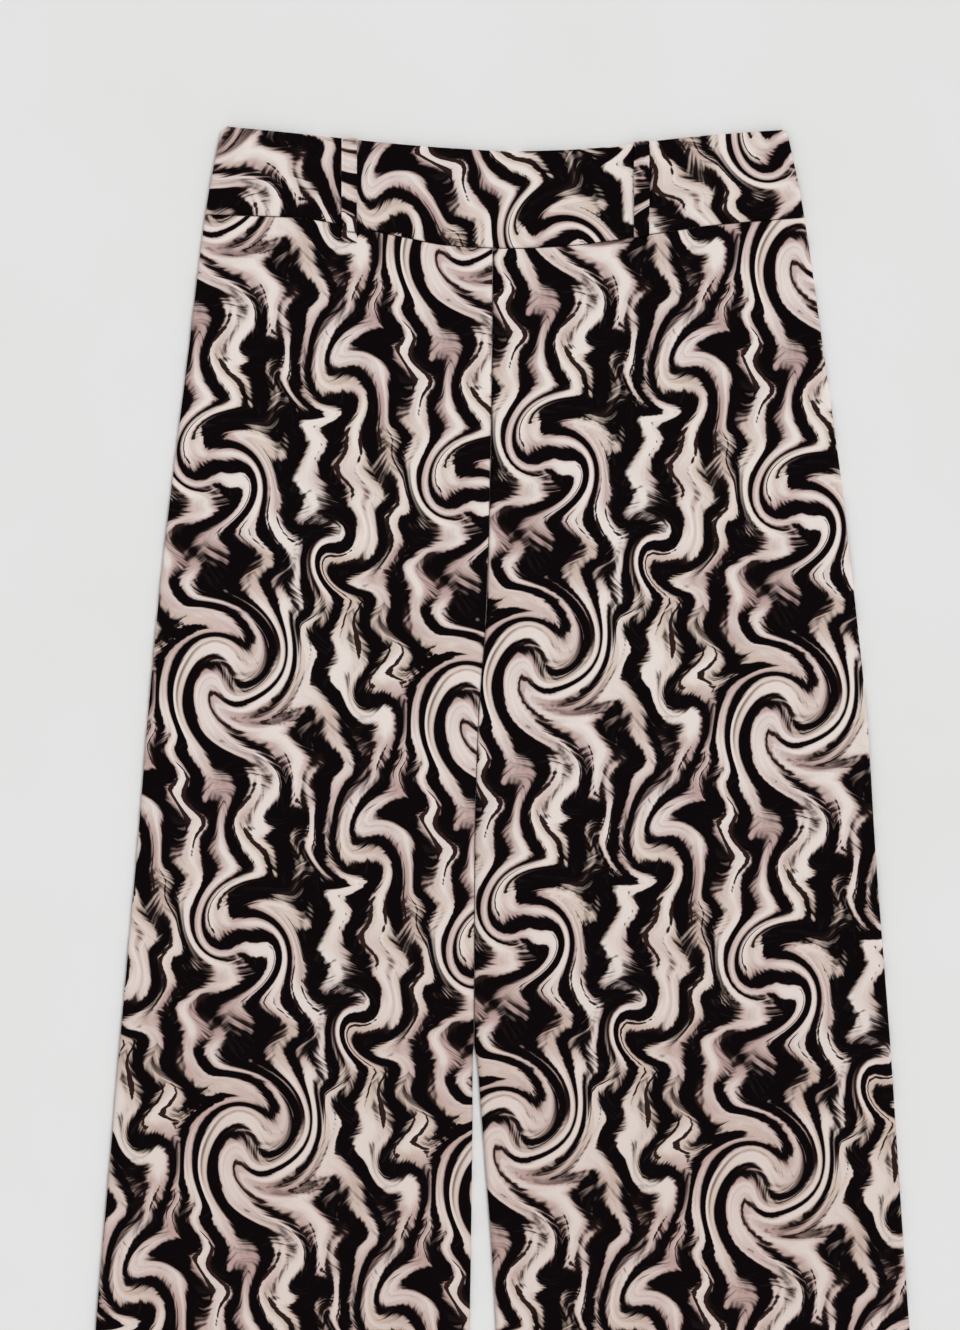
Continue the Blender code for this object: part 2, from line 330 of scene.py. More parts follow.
weave = {
    "warp": 0.00050,          # metres from one thread to the next but one
    "weft": 0.00062,
    "wobble": (5.0, 4.0),     # of the warp and the weft
    "crossing": 0.5,          # how high threads stand where they cross, against their slubs
    "slub": 0.0011,
    "slubDetail": 2.0,
    "depth": 0.00012,
    "strength": 0.35,
    "shade": 0.07,            # how much darker the cloth is between its threads
    "shadeReach": (-0.2, 1.2),
    "shadow": colour(30, 22, 22),
}

# Noises of the print: grain in metres across and down, detail, slant, and where each is read
# from, which lies this many times further off in the fourth direction
fourthShift = 1.7
printNoises = {
    "wander":     (0.042, 0.085, 0.0, 0, 3.1),
    "stroke":     (0.0078, 0.046, 0.7, 0, 13.1),
    "lumps":      (0.0055, 0.0110, 1.0, 0, 24.6),
    "hair right": (0.0028, 0.018, 1.5, 2, 5.3),
    "hair left":  (0.0028, 0.018, 1.5, -2, 1.9),
    "ragged":     (0.018, 0.032, 0.0, 0, 11.3),
    "fine lines": (0.026, 0.050, 0.0, 0, 12.4),
    "cloud":      (0.022, 0.040, 2.0, 0, 15.2),
    "warmth":     (0.040, 0.050, 1.0, 0, 18.8),
    "brush":      (0.0016, 0.030, 2.0, 0, 21.4),
}


def printCloth(name, faded=0.0):
    paint = Paint(name)
    full = 2 * math.pi
    spot = paint.node("ShaderNodeUVMap", {"uv_map": "print"})
    acrossPrint = paint.node("ShaderNodeSeparateXYZ", None, {0: spot})
    turnX = acrossPrint * full
    turnY = acrossPrint.output(1) * full
    width, height = printLayout["repeat"]

    def repeatNoise(noise):
        # noise that comes again with every repeat, from half below 0 to half above
        across, down, detail, slant, shift = printNoises[noise]
        ringX = width / full / across
        ringY = height / full / down
        slanted = turnX + turnY * slant if slant else turnX
        ring = paint.combined(slanted.cosine() * ringX + shift, slanted.sine() * ringX,
                              turnY.cosine() * ringY)
        made = paint.node("ShaderNodeTexNoise", {"noise_dimensions": "4D"},
                          {"Vector": ring, "W": turnY.sine() * ringY + shift * fourthShift,
                           "Scale": 1.0, "Detail": detail, "Roughness": 0.5})
        return made - 0.5

    # strokes of ink with hairs along their edges
    wander = repeatNoise("wander")
    phase = turnX * printPaint["stripes"] + wander * printPaint["wander"]
    rightSide = phase.sine().clip(*printPaint["sideReach"])
    squeeze = paint.node("ShaderNodeAttribute", {"attribute_name": "squeeze"}, None, 2)
    rough = 1 - squeeze.clip(*printPaint["calmed"])
    hair = repeatNoise("hair right") * rightSide + repeatNoise("hair left") * (1 - rightSide)
    hair = hair * rough
    ragged = repeatNoise("ragged").clip(*printPaint["raggedReach"])
    least, most = printPaint["feather"]
    crisp, soft = printPaint["softness"]
    shape = phase.cosine() * printPaint["stripeWeight"]
    shape = shape + repeatNoise("stroke") * printPaint["strokeWeight"]
    shape = shape + repeatNoise("lumps") * rough * printPaint["lumpWeight"]
    shape = shape + printPaint["fullness"]
    edge = ragged * (soft - crisp) + crisp
    ink = (shape + hair * (ragged * (most - least) + least)).clip(edge * -1, edge)

    # thin lines that run beside the strokes
    fine = turnX * (printPaint["stripes"] * fineLines["perStripe"]) + wander * fineLines["wander"]
    broken = repeatNoise("fine lines") * fineLines["broken"] + hair * fineLines["hair"]
    ink = ink.larger((fine.cosine() + broken).clip(*fineLines["reach"]))

    # cream between the strokes, dusty towards them and deeper down the garment
    cloud = repeatNoise("cloud")
    brush = repeatNoise("brush")
    dusty = shape * dust["shape"] + cloud * dust["cloud"] + brush * dust["brush"]
    dusty = (dusty - ragged * dust["ragged"]).clip(*dust["reach"])
    warm = repeatNoise("warmth").clip(*printPaint["tanReach"])
    ground = paint.mixed(warm, printPaint["blush"], printPaint["tan"])
    ground = paint.mixed(dusty, ground, printPaint["cream"])
    flat = paint.node("ShaderNodeUVMap", {"uv_map": "cloth"})
    acrossCloth = paint.node("ShaderNodeSeparateXYZ", None, {0: flat})
    downCloth = acrossCloth.output(1)
    start, end, deepest = printPaint["drift"]
    ground = paint.mixed(downCloth.clip(start, end, 0.0, deepest), ground, printPaint["deep"])

    # ink, thin at its edges and streaked where the brush ran dry
    depth = shape + cloud * inkDepth["cloud"] + brush * inkDepth["brush"]
    inked = paint.mixed(depth.clip(*inkDepth["reach"]), printPaint["inkWarm"], printPaint["ink"])
    dry = (hair + cloud * dryBrush["cloud"]).clip(*dryBrush["reach"])
    inked = paint.mixed(dry * dryBrush["strength"], inked, printPaint["inkDry"])
    if faded:
        inked = paint.mixed(faded, inked, ground)
    tone = paint.mixed(ink, ground, inked)

    # a fine crepe weave, in the cut piece's own metres
    warp = acrossCloth * (full / weave["warp"])
    weft = downCloth * (full / weave["weft"])
    slub = paint.node("ShaderNodeTexNoise", {"noise_dimensions": "2D"},
                      {"Vector": flat, "Scale": 1 / weave["slub"], "Detail": weave["slubDetail"]})
    warpWobble, weftWobble = weave["wobble"]
    crossing = (warp + slub * warpWobble).sine() * (weft + slub * weftWobble).sine()
    crossing = crossing * weave["crossing"] + slub
    normal = paint.node("ShaderNodeBump", None, {"Strength": weave["strength"],
                                                 "Distance": weave["depth"], "Height": crossing})
    between = crossing.clip(*weave["shadeReach"], 0.0, weave["shade"])
    return paint.finish({"Base Color": paint.mixed(between, tone, weave["shadow"]),
                         "Roughness": printPaint["roughness"],
                         "Specular IOR Level": printPaint["gloss"], "Normal": normal})


print("print ready")

legs = {
    "right": {"inner": edges["rightInner"], "side": edges["rightSide"], "outward": -1},
    "left": {"inner": edges["leftInner"], "side": edges["leftSide"], "outward": 1},
}

# Soft folds of the front: x, drop, length, width, turn and height, in metres and in degrees
# towards the wearer's left. The creases below have the same columns.
folds = {
    "crotch to right hip":   (-0.043, 0.346, 0.120, 0.011, 30, 0.0013),
    "crotch to left hip":    (0.010, 0.350, 0.110, 0.011, -31, 0.0011),
    "crotch to right thigh": (-0.049, 0.462, 0.150, 0.013, -23, 0.0014),
    "crotch to left thigh":  (0.016, 0.468, 0.170, 0.014, 21, 0.0012),
    "right hip":             (-0.138, 0.205, 0.200, 0.030, -7, 0.0008),
    "left hip":              (0.132, 0.235, 0.230, 0.032, 6, 0.0009),
    "outer right thigh":     (-0.186, 0.455, 0.260, 0.021, 4, -0.0006),
    "outer left thigh":      (0.176, 0.480, 0.240, 0.023, -5, -0.0006),
    "down the right leg":    (-0.150, 0.650, 0.350, 0.024, 3, 0.0015),
    "inside the right leg":  (-0.078, 0.705, 0.260, 0.017, -4, 0.0010),
    "down the left leg":     (0.112, 0.625, 0.380, 0.026, -3, 0.0015),
    "outside the left leg":  (0.198, 0.715, 0.240, 0.017, 5, 0.0009),
    "inside the left leg":   (0.046, 0.735, 0.210, 0.015, 3, 0.0009),
}

# Finer creases that lie over the folds
frontCreases = {
    "pull at the right crotch":  (-0.027, 0.372, 0.052, 0.0042, 47, 0.0006),
    "pull at the left crotch":   (-0.001, 0.377, 0.044, 0.0038, -52, 0.0005),
    "pull under the crotch":     (-0.030, 0.428, 0.064, 0.0050, -34, 0.0006),
    "beside it, left":           (0.002, 0.433, 0.058, 0.0046, 38, 0.0005),
    "sat-in, right":             (-0.088, 0.331, 0.104, 0.0072, 62, 0.0005),
    "sat-in, left":              (0.066, 0.322, 0.090, 0.0068, -66, 0.0005),
    "under the right loop":      (-0.104, 0.118, 0.074, 0.0055, -3, 0.0004),
    "right dart's end":          (-0.064, 0.131, 0.052, 0.0048, 6, -0.0003),
    "under the left loop":       (0.091, 0.114, 0.082, 0.0060, 4, 0.0004),
    "beside the right side":     (-0.196, 0.300, 0.120, 0.0065, 5, 0.0004),
    "beside the left side":      (0.205, 0.356, 0.150, 0.0070, -6, 0.0004),
    "right knee, upper":         (-0.117, 0.548, 0.086, 0.0075, 71, 0.0005),
    "right knee, lower":         (-0.171, 0.603, 0.070, 0.0062, 80, 0.0004),
    "left knee, upper":          (0.089, 0.537, 0.074, 0.0066, -73, 0.0005),
    "left knee, lower":          (0.148, 0.588, 0.096, 0.0080, -84, 0.0005),
    "right shin":                (-0.112, 0.712, 0.168, 0.0090, 2, -0.0005),
    "left shin":                 (0.079, 0.690, 0.150, 0.0085, -4, -0.0005),
    "right outer calf":          (-0.216, 0.738, 0.142, 0.0078, 4, 0.0005),
    "left outer calf":           (0.228, 0.640, 0.118, 0.0070, 6, 0.0005),
    "right inner calf":          (-0.045, 0.655, 0.112, 0.0062, -6, 0.0004),
    "left inner calf":           (0.020, 0.640, 0.096, 0.0060, 3, 0.0004),
    "beside the right inseam":   (-0.0280, 0.500, 0.250, 0.0050, -1, 0.0013),
    "beside the left inseam":    (-0.0070, 0.490, 0.230, 0.0050, -1, 0.0013),
}

# The back lies flat on the surface, so its creases lift off it
backCreases = {
    "right seat":        (-0.092, 0.262, 0.170, 0.0110, 14, 0.0005),
    "left seat":         (0.078, 0.271, 0.190, 0.0120, -12, 0.0005),
    "seat seam, right":  (-0.040, 0.350, 0.080, 0.0060, 36, 0.0004),
    "seat seam, left":   (0.012, 0.356, 0.072, 0.0060, -38, 0.0004),
    "right thigh":       (-0.140, 0.500, 0.210, 0.0130, -5, 0.0005),
    "left thigh":        (0.128, 0.480, 0.240, 0.0140, 4, 0.0005),
    "behind the knee, right": (-0.120, 0.606, 0.090, 0.0080, 76, 0.0004),
    "behind the knee, left":  (0.104, 0.598, 0.100, 0.0080, -79, 0.0004),
    "right calf":        (-0.090, 0.710, 0.160, 0.0120, 2, 0.0005),
    "left calf":         (0.150, 0.700, 0.180, 0.0120, -3, 0.0005),
}


ridgeReach = 3    # a ridge has died out this many widths from its middle


def ridgeHeight(ridges, x, drop):
    height = 0.0
    for ridgeX, ridgeDrop, length, width, turn, rise in ridges:
        sine, cosine = turn
        along = (x - ridgeX) * sine + (drop - ridgeDrop) * cosine
        if abs(along) < length / 2:
            across = (x - ridgeX) * cosine - (drop - ridgeDrop) * sine
            if abs(across) < width * ridgeReach:
                taper = math.cos(math.pi * along / length) ** 2
                height += rise * taper * math.exp(-(across / width) ** 2)
    return height


def readyRidges(*tables):
    ready = []
    for table in tables:
        for x, drop, length, width, turn, rise in table.values():
            turned = math.radians(turn)
            ready.append((x, drop, length, width, (math.sin(turned), math.cos(turned)), rise))
    return ready


frontRidges = readyRidges(folds, frontCreases)
backRidges = readyRidges(backCreases)

cloth = {
    "thickness": 0.0008,
    "foldRadius": 0.00088,    # of the hem's fold and the waistband's, to the face
    "foldSteps": 6,
    "rollSteps": 6,           # across an edge that turns down
    "gap": 0.0003,            # between pieces at a seam
    "seamLevel": 0.5,         # the share of the height at which front and back edges meet
    "inseamLevel": 0.22,      # and at the inseams
    "seamDip": 0.0003,        # a slow dip along the centre seams
    "crotchRoll": 0.0042,     # how much wider the inner edges roll just below the crotch
    "puckerHeight": 0.00012,
    "puckerLength": 0.0085,
    "puckerUneven": (3, 61),  # how far gathers shift along a seam, and how quickly that changes
    "puckerStart": 0.0015,
    "puckerReach": 0.006,
    "waistPucker": 1.3,       # gathers are this much closer along the waist seam
    "rounds": 5,              # a point's x and drop hang on each other and are found by turns
}


def facePoint(total, inset, lift, front, relief, level):
    # z of a face that lies inset below the outer one: lift is 0 where front and back meet and 1
    # where the cloth is flat, and level is the share of the height at which they meet
    meet = total * (level if front else 1 - level) + garment["seamGap"] / 2
    z = meet + (total - meet - inset) * lift + relief
    return z if front else total - z


# How deep each seam pulls the edges in, and how quickly that dies out
seams = {"waist": (0.0010, 0.0005), "centre": (0.0019, 0.00060)}


def seamSink(seam, distance):
    depth, reach = seams[seam]
    return depth * math.exp(-distance / reach)


def pucker(distance, along):
    # small gathers where a seam's thread pulls the cloth
    shift, change = cloth["puckerUneven"]
    phase = 2 * math.pi * along / cloth["puckerLength"] + shift * math.sin(along * change)
    fade = math.exp(-distance / cloth["puckerReach"]) * ease(distance, 0.0, cloth["puckerStart"])
    return cloth["puckerHeight"] * math.sin(phase) * fade


def rolledTurns():
    return [math.pi / 2 * n / cloth["rollSteps"] for n in range(cloth["rollSteps"])]


def foldRows(straight):
    # rows round a fold: how far each lies below the face, back from the fold, and along the cloth
    radius = cloth["foldRadius"]
    rows = []
    for n in range(1, cloth["foldSteps"] + 1):
        angle = math.pi * n / cloth["foldSteps"]
        rows.append((radius * (1 - math.cos(angle)), radius * (1 - math.sin(angle)), radius * angle))
    start = radius * math.pi
    for share in straight:
        rows.append((radius * 2, radius + share, start + share))
    return rows


legGrid = {
    "columns": 64,
    "rows": 212,
    "seamRows": (0.0, 0.0002, 0.0005, 0.0009, 0.0015, 0.0024, 0.0040),   # below the waist seam
    "innerColumns": (0.0004, 0.0009, 0.0016, 0.0028),                    # beside the inner edge
    "turnUp": 0.025,          # the hem's depth
    "turnUpRows": 8,
    "hemStep": 0.0004,        # how much the hem's layers lift the front
    "hemCurve": 1.5,          # above 1, a hem rises more towards its side end
    "rollWidens": (0.385, 0.430),    # the drops between which the inner edges' roll widens
    "rollNarrows": (0.500, 0.640),
    "sewnRoll": 1.6,          # above 1, the rows of a sewn edge stand nearer to its seam
    "edgeParts": (-0.012, 0.028),    # from the crotch, where the sewn edges part
    "reliefParts": (-0.010, 0.030),  # and where what a seam does to the cloth gives way
    "sideFade": 0.018,        # folds and gathers die out this near an edge
    "innerFade": 0.014,
    "waistFade": (0.004, 0.030),     # below the waist seam, where folds come in
    "hemFade": 0.003,         # half the width of the hem's step
}


def legSpans():
    # across a leg: the share of its width, a distance past the turned edge, and the turn
    flat = math.pi / 2
    spans = [(0.0, 0.0, turn) for turn in rolledTurns()] + [(0.0, 0.0, flat)]
    spans += [(0.0, distance, flat) for distance in legGrid["innerColumns"]]
    spans += [(n / legGrid["columns"], 0.0, flat) for n in range(1, legGrid["columns"] + 1)]
    return spans + [(1.0, 0.0, turn) for turn in reversed(rolledTurns())]


def legRows():
    # down a leg: the share of its length, a distance below the waist seam, and the hem's fold
    rows = [(0.0, distance, 0.0, cloth["foldRadius"], 0.0) for distance in legGrid["seamRows"]]
    # the rows beside the seam stand for the first of the even ones
    rows += [(n / legGrid["rows"], 0.0, 0.0, cloth["foldRadius"], 0.0)
             for n in range(2, legGrid["rows"] + 1)]
    straight = legGrid["turnUp"] - cloth["foldRadius"]
    shares = [straight * n / legGrid["turnUpRows"] for n in range(1, legGrid["turnUpRows"] + 1)]
    return rows + [(1.0, 0.0, *fold) for fold in foldRows(shares)]


def hemDropAt(share):
    return garment["length"] - garment["hemRise"] * share ** legGrid["hemCurve"]


def partedAt(drop, reach):
    # 0 where the centre seams hold the panels together and 1 where the legs are apart
    return ease(drop, *(garment["crotchDrop"] + shift for shift in reach))


def legPoint(leg, front, span, row):
    share, beside, turn = span
    down, under, inset, back, along = row
    total = 2 * garment["legWall"] + garment["legAir"]
    hemDrop = hemDropAt(share)
    drop = down * garment["length"]
    outward = leg["outward"]
    for _ in range(cloth["rounds"]):
        innerX = leg["inner"](drop) + outward * cloth["gap"] / 2
        sideX = leg["side"](drop)
        sideReach = inset + (garment["edgeRoll"] - inset) * (1 - math.cos(turn))
        wider = cloth["crotchRoll"] * ease(drop, *legGrid["rollWidens"])
        wider *= 1 - ease(drop, *legGrid["rollNarrows"])
        innerReach = sideReach + wider * (1 - math.cos(turn)) + beside
        lift = math.sin(turn)
        sewn = 0.0
        if share == 0.0:
            # above the crotch the edge is sewn to its neighbour, below it rolls down
            parted = partedAt(drop, legGrid["edgeParts"])
            sewn = 1 - parted
            sewnReach = garment["edgeRoll"] * (1 - math.cos(turn)) ** legGrid["sewnRoll"] + beside
            innerReach = blend(sewnReach, innerReach, parted)
            lift = blend(1.0, lift, parted)
        x = blend(innerX + outward * innerReach, sideX - outward * sideReach, share)
        seam = waistLines["seam"](x) + cloth["gap"] / 2
        drop = blend(seam + under, hemDrop, down) - back * (down if under == 0.0 else 0.0)
    fromSeam = drop - seam
    fromInner = abs(x - innerX)
    fromSide = abs(sideX - x)
    parted = partedAt(drop, legGrid["reliefParts"])
    edge = ease(fromSide, 0.0, legGrid["sideFade"])
    edge *= blend(1.0, ease(fromInner, 0.0, legGrid["innerFade"]), parted)
    relief = seamSink("waist", fromSeam) * -lift
    relief -= sewn * (seamSink("centre", fromInner) + cloth["seamDip"] * math.cos(turn))
    gathers = pucker(fromSeam, x * cloth["waistPucker"]) * edge
    relief += gathers + pucker(fromInner, drop) * (1 - parted) * lift
    belowSeam = ease(fromSeam, *legGrid["waistFade"])
    if front:
        relief += ridgeHeight(frontRidges, x, drop) * belowSeam * edge
        turnUp, fade = legGrid["turnUp"], legGrid["hemFade"]
        hem = ease(drop, hemDrop - turnUp - fade, hemDrop - turnUp + fade)
        relief += legGrid["hemStep"] * hem * edge
    else:
        lifted = ridgeHeight(backRidges, x, drop) * belowSeam * edge
        relief = min(relief, 0.0) - lifted
    level = cloth["seamLevel"]
    if share == 0.0:
        level = blend(level, cloth["inseamLevel"], parted)
    z = facePoint(total, inset, lift, front, relief, level)
    flatDrop = drop if inset == 0.0 else hemDrop - cloth["foldRadius"] + along
    return Vector((x, yAt(drop), z)), x, flatDrop


def makeSheet(name, node, spans, rows, pointAt, cut):
    # a grid with a column for each span and a row for each row, shaped by pointAt
    maker = bmesh.new()
    bmesh.ops.create_grid(maker, x_segments=len(spans) - 1, y_segments=len(rows) - 1, size=1.0)
    printMap = maker.loops.layers.uv.new("print")
    clothMap = maker.loops.layers.uv.new("cloth")
    squeeze = maker.verts.layers.float.new("squeeze")
    places = {}
    for vert in maker.verts:
        column = round((vert.co.x + 1) / 2 * (len(spans) - 1))
        row = round((1 - vert.co.y) / 2 * (len(rows) - 1))
        vert.co, flatX, flatDrop = pointAt(spans[column], rows[row])
        printSpot, vert[squeeze] = cutPlace(cut, flatX, flatDrop)
        places[vert] = (printSpot, (flatX, flatDrop))
    for face in maker.faces:
        face.smooth = True
        for loop in face.loops:
            loop[printMap].uv, loop[clothMap].uv = places[loop.vert]
    maker.normal_update()
    # the outer side looks up in front and down behind: the face of the grid nearest to a point
    # well outside tells whether the sheet came out that way round
    wellOutside = 0.01
    target = Vector((cut["middle"], 0.0, wellOutside * cut["up"]))
    nearest = min(maker.faces, key=lambda face: (face.calc_center_median() - target).length)
    if nearest.normal.z * cut["up"] < 0:
        bmesh.ops.reverse_faces(maker, faces=maker.faces)
    return finishPiece(name, node, maker, (printedCloth, clothReverse))


def finishPiece(name, node, maker, materials):
    mesh = bpy.data.meshes.new(name)
    maker.to_mesh(mesh)
    maker.free()
    for material in materials:
        mesh.materials.append(material)
    piece = bpy.data.objects.new(name, mesh)
    bpy.context.scene.collection.objects.link(piece)
    if len(materials) > 1:
        wall = piece.modifiers.new("wall", "SOLIDIFY")
        wall.thickness = cloth["thickness"]
        wall.offset = -1.0
        wall.material_offset = 1
    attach(piece, "root")
    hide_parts(node)
    return piece


printedCloth = printCloth("printedCloth")
clothReverse = printCloth("clothReverse", faded=0.62)

# How each piece was laid on the printed cloth: degrees off the grain and the shift in metres,
# with the x of a sheet's middle and which way its face looks
cuts = {
    "front_right_leg": {"grain": -3, "across": 0.310, "down": 0.020, "middle": -0.12, "up": 1},
    "front_left_leg": {"grain": 3, "across": 0.395, "down": 0.075, "middle": 0.12, "up": 1},
    "back_right_leg": {"grain": -3, "across": 0.350, "down": 0.190, "middle": -0.12, "up": -1},
    "back_left_leg": {"grain": 3, "across": 0.420, "down": 0.240, "middle": 0.12, "up": -1},
    "waistband_front": {"grain": -32, "across": 0.290, "down": 0.175, "middle": 0.0, "up": 1},
    "waistband_back": {"grain": 30, "across": 0.290, "down": 0.120, "middle": 0.0, "up": -1},
    "belt_loop_right": {"grain": -38, "across": 0.192, "down": 0.146},
    "belt_loop_left": {"grain": 12, "across": 0.020, "down": 0.245},
}


def legArea(leg):
    # flat size and area of a finished panel with its hem let down, summed up in thin strips
    steps = 80
    seamDrop = 0.07
    inner, side, seam = leg["inner"], leg["side"], waistLines["seam"]
    innerTop = seam(inner(seamDrop))
    area = widest = longest = 0.0
    for n in range(steps):
        share = (n + 0.5) / steps
        top = seam(blend(inner(seamDrop), side(seamDrop), share))
        longest = max(longest, hemDropAt(share) - top + legGrid["turnUp"])
        drop = blend(innerTop, garment["length"], share)
        width = abs(side(drop) - inner(drop))
        area += width * (garment["length"] - innerTop) / steps
        widest = max(widest, width)
    return (widest, longest), area + widest * legGrid["turnUp"]


for side, leg in legs.items():
    for place in ("back", "front"):
        name = f"{place}_{side}_leg"
        isFront = place == "front"
        piece = makeSheet(f"{name}_cloth", name, legSpans(), legRows(),
                          lambda span, row: legPoint(leg, isFront, span, row), cuts[name])
        flat, area = legArea(leg)
        print(name, "laid out", [round(size, 3) for size in flat], round(area, 4))

# The waistband: a front and a back piece, each folded over along its upper edge
bandGrid = {
    "columns": 62,
    "rows": 26,
    "seamRows": (0.0040, 0.0024, 0.0015, 0.0009, 0.0005, 0.0002, 0.0),   # above the waist seam
    "insideRows": 8,
    "insideEnd": 0.002,       # the inner layer ends this far above the seam
    "cornerRadius": 0.004,
    "seamDrop": 0.06,         # where its lower width is measured
}


def cornerInset(depth):
    # how far the rounded upper corner stands in from the side
    radius = bandGrid["cornerRadius"]
    if depth >= radius:
        return 0.0
    return radius - math.sqrt(radius ** 2 - (radius - depth) ** 2)


def bandSpans():
    flat = math.pi / 2
    half = [(n / bandGrid["columns"], flat) for n in range(bandGrid["columns"] + 1)]
    half += [(1.0, turn) for turn in reversed(rolledTurns())]
    spans = [("right", share, turn) for share, turn in reversed(half)]
    return spans + [("left", share, turn) for share, turn in half[1:]]


def bandRows():
    # from the inside up, over the fold and down the outside: share of the depth, a distance
    # above the seam, how deep inside the band and how far back from the fold
    radius = cloth["foldRadius"]
    count = bandGrid["insideRows"]
    rows = [(n / count, bandGrid["insideEnd"] * n / count, 2 * radius, radius)
            for n in range(count, 0, -1)]
    rows += [(0.0, 0.0, inset, back) for inset, back, _ in reversed(foldRows(()))]
    count = bandGrid["rows"]
    rows += [(n / count, 0.0, 0.0, radius) for n in range(0, count - 1)]
    return rows + [(1.0, above, 0.0, radius) for above in bandGrid["seamRows"]]


def bandPoint(front, span, row):
    side, share, turn = span
    down, above, inset, back = row
    leg = legs[side]
    outward = leg["outward"]
    total = 2 * garment["bandWall"] + garment["bandAir"]
    drop = down * waistLines["seam"](0.0)
    depth = 0.0
    for _ in range(cloth["rounds"]):
        reach = inset + (garment["edgeRoll"] - inset) * (1 - math.cos(turn))
        sideX = leg["side"](drop) - outward * (cornerInset(depth) + reach)
        innerX = leg["inner"](drop)
        x = blend(innerX, sideX, share)
        top = waistLines["top"](x)
        full = waistLines["seam"](x) - cloth["gap"] / 2 - top
        depth = back + down * (full - back) - above
        drop = top + depth
    lift = math.sin(turn)
    fromSeam = full - depth
    relief = 0.0
    if inset == 0.0:
        relief = seamSink("waist", fromSeam) * -lift
        relief += pucker(fromSeam, x * cloth["waistPucker"]) * lift
        if not front:
            relief = min(relief, 0.0)
    z = facePoint(total, inset, lift, front, relief, cloth["seamLevel"])
    flatDrop = drop if inset == 0.0 else top - (drop - top)
    return Vector((x, yAt(drop), z)), x, flatDrop


def widthAt(drop):
    return edges["leftSide"](drop) - edges["rightSide"](drop)


for place in ("back", "front"):
    name = f"waistband_{place}"
    isFront = place == "front"
    piece = makeSheet(f"{name}_cloth", name, bandSpans(), bandRows(),
                      lambda span, row: bandPoint(isFront, span, row), cuts[name])
    upperWidth, lowerWidth = widthAt(0.0), widthAt(bandGrid["seamDrop"])
    depth = 2 * (waistLines["seam"](0.0) - waistLines["top"](0.0))
    # the curved edges and corners take a fiftieth off its area
    (upperWidth + lowerWidth) / 2 * depth * 0.98
    print(name, "folded", round(lowerWidth, 3), round(depth, 3))

# The belt loops: narrow strips with a stitched groove along each edge
loopSize = {
    "width": 0.010,
    "cloth": 0.0012,
    "edgeRound": 0.00045,
    "edgeSegments": 4,
    "aboveEdge": 0.0006,      # how far the upper end stands over the waistband's edge
    "stepDown": (-0.0005, 0.006),    # round the waist seam, from the waistband's level to the leg's
    "rows": 60,
    "groove": 0.0002,
    "grooveInset": 0.0014,
    "grooveCut": 0.0004,      # from a groove's middle to the cuts beside it
    "grooveReach": 0.0005,
    "faceShare": 0.9,         # what stands higher than this share of the cloth sinks into grooves
}
loops = {
    "belt_loop_right": {"x": -0.0996, "belowSeam": 0.0104, "bulge": 0.0012},
    "belt_loop_left": {"x": 0.0900, "belowSeam": 0.0008, "bulge": 0.0010},
}


def loopPlace(loop, across, share, up):
    # a point of the strip: across it, along it from its upper end, and above its lower face
    bandLevel = 2 * garment["bandWall"] + garment["bandAir"]
    legLevel = 2 * garment["legWall"] + garment["legAir"]
    middle = loop["x"]
    top = waistLines["top"](middle) - loopSize["aboveEdge"]
    seam = waistLines["seam"](middle)
    end = seam + loop["belowSeam"]
    drop = blend(top, end, share)
    stepStart, stepEnd = loopSize["stepDown"]
    level = blend(bandLevel, legLevel, ease(drop, seam + stepStart, seam + stepEnd))
    level += garment["seamGap"] + loop["bulge"] * math.sin(math.pi * share) ** 2
    x = middle + across
    slant = drop + waistLines["top"](x) - waistLines["top"](middle)
    return Vector((x, yAt(slant), level + up)), end - top


def cutThrough(maker, place, direction):
    bmesh.ops.bisect_plane(maker, geom=maker.verts[:] + maker.edges[:] + maker.faces[:],
                           plane_co=place, plane_no=direction)


def makeLoop(name, loop):
    maker = bmesh.new()
    bmesh.ops.create_cube(maker, size=1.0)
    bmesh.ops.scale(maker, vec=(loopSize["width"], 1.0, loopSize["cloth"]), verts=maker.verts)
    lengthwise = [edge for edge in maker.edges
                  if abs(edge.verts[0].co.y - edge.verts[1].co.y) > 0.5]
    bmesh.ops.bevel(maker, geom=lengthwise, offset=loopSize["edgeRound"], affect="EDGES",
                    segments=loopSize["edgeSegments"], profile=0.5, material=-1)
    stitched = loopSize["width"] / 2 - loopSize["grooveInset"]
    beside = loopSize["grooveCut"]
    grooveCuts = [-stitched - beside, -stitched, -stitched + beside]
    for at in (*grooveCuts, 0.0, *(-cut for cut in reversed(grooveCuts))):
        cutThrough(maker, (at, 0, 0), (1, 0, 0))
    for n in range(1, loopSize["rows"]):
        cutThrough(maker, (0, n / loopSize["rows"] - 0.5, 0), (0, 1, 0))
    printMap = maker.loops.layers.uv.new("print")
    clothMap = maker.loops.layers.uv.new("cloth")
    squeeze = maker.verts.layers.float.new("squeeze")
    reach = loopSize["grooveReach"]
    places = {}
    for vert in maker.verts:
        across, share, up = vert.co.x, 0.5 - vert.co.y, vert.co.z + loopSize["cloth"] / 2
        if up > loopSize["cloth"] * loopSize["faceShare"]:
            offSeam = abs(abs(across) - stitched)
            up -= loopSize["groove"] * ease(reach - offSeam, 0.0, reach)
        vert.co, length = loopPlace(loop, across, share, up)
        spot = (loop["x"] + across, share * length)
        printSpot, vert[squeeze] = cutPlace(cuts[name], *spot)
        places[vert] = (printSpot, spot)
    for face in maker.faces:
        face.smooth = True
        for corner in face.loops:
            corner[printMap].uv, corner[clothMap].uv = places[corner.vert]
    maker.normal_update()
    return finishPiece(f"{name}_cloth", name, maker, (printedCloth,)), length


